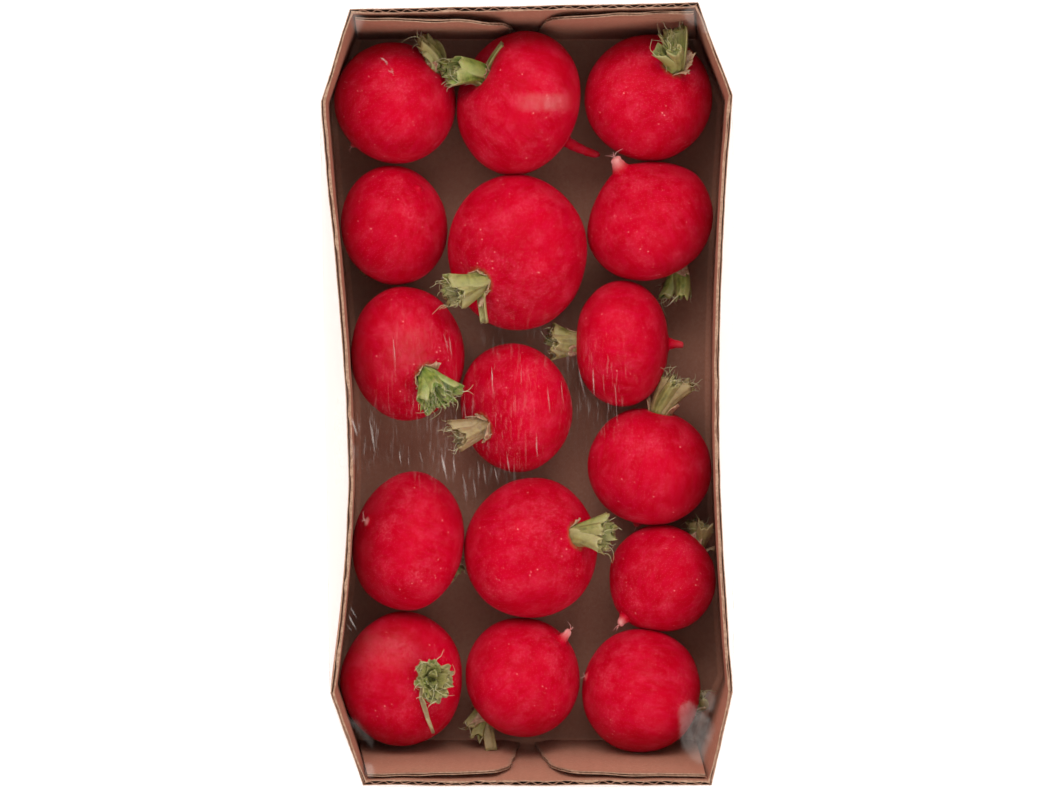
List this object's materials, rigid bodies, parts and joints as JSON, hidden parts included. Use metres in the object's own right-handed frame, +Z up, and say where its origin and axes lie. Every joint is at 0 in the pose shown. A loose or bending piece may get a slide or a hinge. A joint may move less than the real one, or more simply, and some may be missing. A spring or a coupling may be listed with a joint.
{
  "type": "wrapped tray of radishes",
  "caption": "Topped red radishes in one layer in a folded corrugated board tray with eight sides, wrapped in clear stretch film.",
  "frame": {"origin": "under the middle of the pack, on the surface that it stands on", "axes": "+Y along the pack's length, +X across it, +Z up through the film's top"},
  "size_m": [0.1018, 0.187, 0.0418],
  "materials": {
    "radish_skin": "satin",
    "leaf_stalk": "matte",
    "kraft_board": "matte",
    "clear_film": "gloss"
  },
  "bodies": {
    "root": {"tray": "kraft_board", "film": "clear_film", "radish_01": "radish_skin", "radish_02": "radish_skin", "radish_03": "radish_skin", "radish_04": "radish_skin", "radish_05": "radish_skin", "radish_06": "radish_skin", "radish_07": "radish_skin", "radish_08": "radish_skin", "radish_09": "radish_skin", "radish_10": "radish_skin", "radish_11": "radish_skin", "radish_12": "radish_skin", "radish_13": "radish_skin", "radish_14": "radish_skin", "radish_15": "radish_skin", "radish_16": "radish_skin", "stalks_01": "leaf_stalk", "stalks_02": "leaf_stalk", "stalks_03": "leaf_stalk", "stalks_04": "leaf_stalk", "stalks_05": "leaf_stalk", "stalks_06": "leaf_stalk", "stalks_07": "leaf_stalk", "stalks_08": "leaf_stalk", "stalks_09": "leaf_stalk", "stalks_10": "leaf_stalk", "stalks_11": "leaf_stalk", "stalks_12": "leaf_stalk", "stalks_13": "leaf_stalk", "stalks_14": "leaf_stalk", "stalks_15": "leaf_stalk", "stalks_16": "leaf_stalk"}
  },
  "joints": []
}
